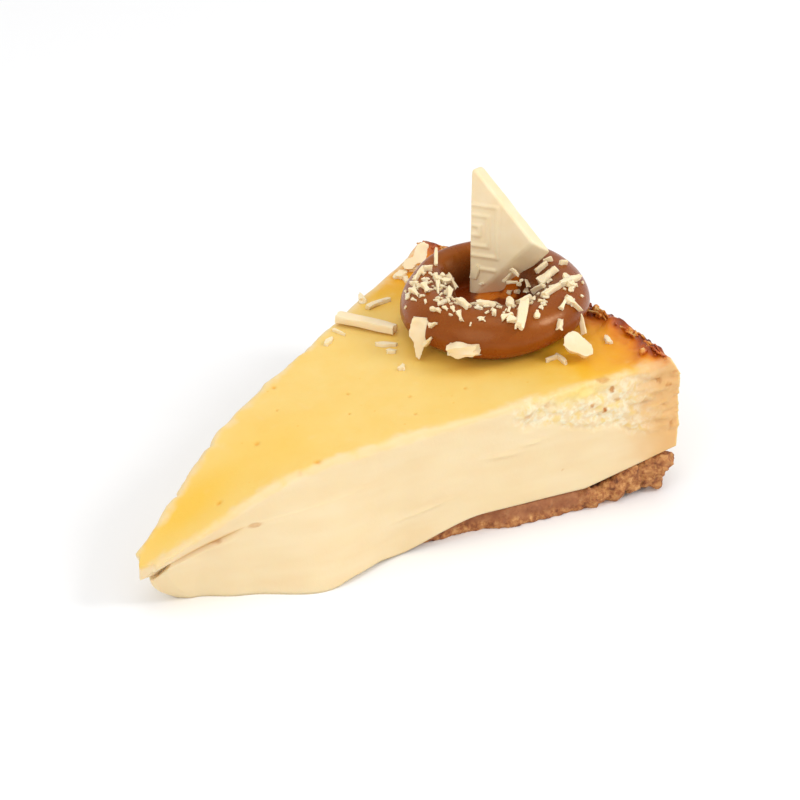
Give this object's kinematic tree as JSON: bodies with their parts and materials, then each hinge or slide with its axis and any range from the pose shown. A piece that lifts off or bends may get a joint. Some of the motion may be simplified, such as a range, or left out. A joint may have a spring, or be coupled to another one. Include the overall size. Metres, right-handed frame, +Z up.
{
  "type": "slice of baked cheesecake",
  "caption": "Wedge slice of baked cheesecake on a biscuit base, browned at the rim and slumped at the tip, with a piped caramel ring, white chocolate flakes and a white chocolate triangle",
  "frame": {"origin": "middle of the bounding box of the slice, at the level of the surface it stands on", "axes": "+X from the slice's point to the middle of its rim, +Y to the cut that faces away in the picture, +Z up"},
  "size_m": [0.1196, 0.078, 0.0593],
  "materials": {
    "biscuit": "crumbly baked biscuit, dull and porous",
    "filling": "smooth baked cream cheese, satin yellow skin on top, browned to dark gloss at the rim",
    "caramel": "soft milk caramel cream, smooth with a broad soft sheen",
    "white_chocolate": "white chocolate, waxy satin"
  },
  "bodies": {
    "root": {"biscuit_base": "biscuit", "cheese_filling": "filling", "caramel_ring": "caramel", "white_chocolate_triangle": "white_chocolate", "chocolate_shard_left": "white_chocolate", "chocolate_stick": "white_chocolate", "chocolate_chunk_right": "white_chocolate", "chocolate_curl_back": "white_chocolate"}
  },
  "joints": []
}
